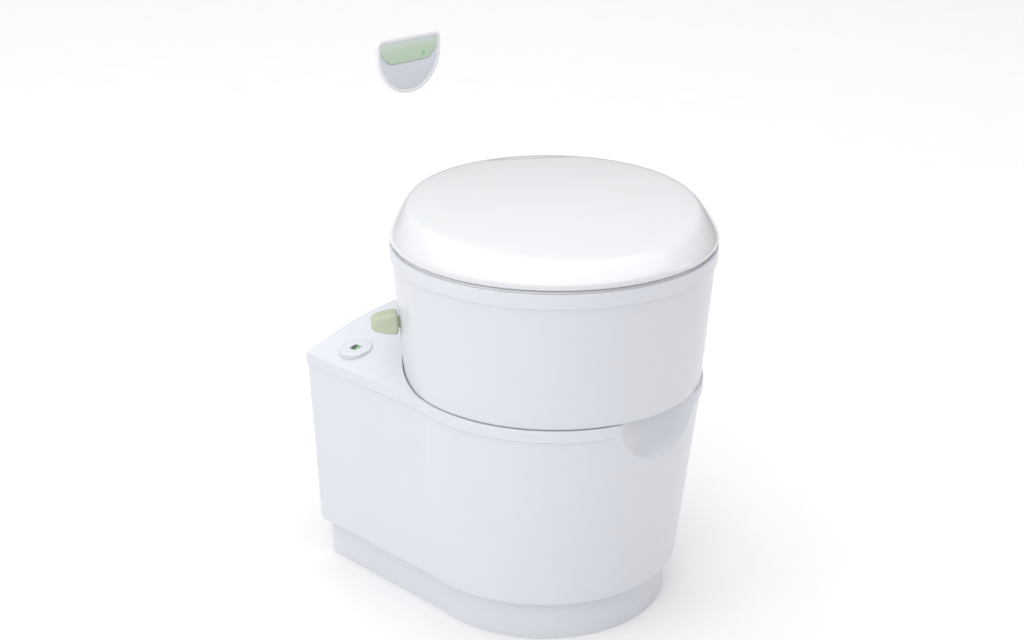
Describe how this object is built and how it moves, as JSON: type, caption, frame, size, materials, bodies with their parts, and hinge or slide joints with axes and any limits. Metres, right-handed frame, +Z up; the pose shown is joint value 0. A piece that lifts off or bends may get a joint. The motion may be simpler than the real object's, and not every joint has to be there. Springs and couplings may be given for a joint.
{
  "type": "cassette toilet",
  "caption": "Swivel-bowl cassette toilet for a motorhome or caravan, with hinged lid and seat, blade knob, slide-out waste tank and a separate wall-mounted flush panel.",
  "frame": {"origin": "bowl swivel axis at floor level", "axes": "+Z up, +Y towards the wall behind, -Y is the front of the console, +X to the right seen from the front"},
  "size_m": [0.3996, 0.4608, 0.6835],
  "materials": {
    "body_white": "glossy injection-moulded white plastic",
    "lid_white": "high-gloss white plastic",
    "basin_white": "glossy white basin",
    "knob_green": "satin sage green plastic",
    "panel_silver": "satin light grey plastic",
    "panel_grey": "grey-blue membrane",
    "panel_green": "translucent green key",
    "led_green": "green indicator",
    "lens_clear": "clear window",
    "flag_green": "dark green flag",
    "seal_black": "black rubber",
    "buffer_grey": "grey rubber",
    "tank_grey": "grained grey plastic",
    "tank_dark": "dark grey plastic",
    "mech_plastic": "natural acetal",
    "steel": "stainless steel"
  },
  "bodies": {
    "base": {"console_shell": "body_white", "plinth_tray": "body_white", "top_deck": "body_white", "bearing_plate": "mech_plastic", "turntable_ring": "mech_plastic", "drop_chute": "mech_plastic", "chute_screws": "steel", "tank_runners": "mech_plastic", "flush_pump": "tank_dark", "inlet_valve": "tank_dark", "water_pipe": "mech_plastic", "control_box": "tank_dark", "service_shelf": "mech_plastic", "indicator_bezel": "body_white", "indicator_lens": "lens_clear", "panel_back": "panel_silver", "panel_bezel": "panel_silver", "panel_face": "panel_grey", "panel_led": "led_green"},
    "bowl": {"bowl_housing": "body_white", "bowl_basin": "basin_white", "outlet_seal": "seal_black", "flush_nozzle": "basin_white", "blade_rails": "mech_plastic", "knob_escutcheon": "body_white", "shaft_bracket": "mech_plastic", "hinge_posts": "body_white", "hinge_rod": "steel", "hinge_cover": "lid_white", "seat_buffers": "buffer_grey"},
    "knob": {"blade_knob": "knob_green", "knob_shaft": "steel", "blade_lever": "mech_plastic"},
    "bowl_valve": {"bowl_blade": "mech_plastic"},
    "seat": {"seat_ring": "lid_white"},
    "cover": {"lid": "lid_white", "lid_buffers": "buffer_grey"},
    "flush_key": {"flush_button": "panel_green"},
    "flag": {"indicator_flag": "flag_green"},
    "tank": {"tank_lower": "tank_grey", "tank_upper": "tank_grey", "blade_frame": "tank_dark", "lip_seal": "seal_black", "wheel_axles": "steel", "handle_lugs": "steel", "float_pivot": "mech_plastic"},
    "tank_valve": {"tank_blade": "mech_plastic"},
    "spout": {"pour_spout": "tank_dark"},
    "cap": {"spout_cap": "knob_green"},
    "vent": {"vent_button": "knob_green"},
    "wheel_left": {"tank_wheel_left": "tank_dark"},
    "wheel_right": {"tank_wheel_right": "tank_dark"},
    "handle": {"carry_handle": "tank_dark"},
    "float": {"float_arm": "mech_plastic"}
  },
  "joints": [
    {"name": "bowl_swivel", "type": "hinge", "parent": "base", "child": "bowl", "pos_m": [0, 0, 0.3], "axis": [0, 0, 1], "range_deg": [-53.7, 126.3]},
    {"name": "knob_turn", "type": "hinge", "parent": "bowl", "child": "knob", "pos_m": [-0.16119, 0.1184, 0.375], "axis": [0.8059, -0.592, 0], "range_deg": [0, 90]},
    {"name": "bowl_blade_slide", "type": "slide", "parent": "bowl", "child": "bowl_valve", "axis": [0.592, 0.8059, 0], "range_m": [0, 0.0905]},
    {"name": "seat_hinge", "type": "hinge", "parent": "bowl", "child": "seat", "pos_m": [0.09502, 0.12935, 0.5214], "axis": [0.8059, -0.592, 0], "range_deg": [-88, 0]},
    {"name": "lid_hinge", "type": "hinge", "parent": "seat", "child": "cover", "pos_m": [0.09502, 0.12935, 0.5214], "axis": [-0.8059, 0.592, 0], "range_deg": [0, 88]},
    {"name": "flush_press", "type": "slide", "parent": "base", "child": "flush_key", "axis": [0, 1, 0], "range_m": [0, 0.0012], "stiffness_N_per_m": 900, "springref_m": -0.0004},
    {"name": "flag_slide", "type": "slide", "parent": "base", "child": "flag", "axis": [0, 1, 0], "range_m": [0, 0.008]},
    {"name": "tank_slide", "type": "slide", "parent": "base", "child": "tank", "axis": [0, 1, 0], "range_m": [0, 0.345]},
    {"name": "tank_blade_slide", "type": "slide", "parent": "tank", "child": "tank_valve", "axis": [0, 1, 0], "range_m": [0, 0.112]},
    {"name": "spout_swing", "type": "hinge", "parent": "tank", "child": "spout", "pos_m": [0.098, 0.205, 0.21], "axis": [0, 0, -1], "range_deg": [0, 100]},
    {"name": "cap_turn", "type": "hinge", "parent": "spout", "child": "cap", "pos_m": [-0.068, 0.205, 0.2245], "axis": [-1, 0, 0], "range_deg": [0, 90]},
    {"name": "vent_press", "type": "slide", "parent": "tank", "child": "vent", "axis": [0, 0, -1], "range_m": [0, 0.004], "stiffness_N_per_m": 500, "springref_m": -0.0015},
    {"name": "left_wheel_roll", "type": "hinge", "parent": "tank", "child": "wheel_left", "pos_m": [-0.1245, -0.029, 0.029], "axis": [1, 0, 0], "continuous": true},
    {"name": "right_wheel_roll", "type": "hinge", "parent": "tank", "child": "wheel_right", "pos_m": [0.1245, -0.029, 0.029], "axis": [1, 0, 0], "continuous": true},
    {"name": "handle_swing", "type": "hinge", "parent": "tank", "child": "handle", "pos_m": [0, 0.2544, 0.172], "axis": [1, 0, 0], "range_deg": [0, 90]},
    {"name": "float_lift", "type": "hinge", "parent": "tank", "child": "float", "pos_m": [-0.108, 0.09, 0.184], "axis": [1, 0, 0], "range_deg": [0, 27]}
  ],
  "couplings": [
    {"joint": "bowl_blade_slide", "follows": "knob_turn", "m_per_rad": 0.057608},
    {"joint": "tank_blade_slide", "follows": "knob_turn", "m_per_rad": 0.071294},
    {"joint": "flag_slide", "follows": "float_lift", "m_per_rad": 0.016975}
  ]
}
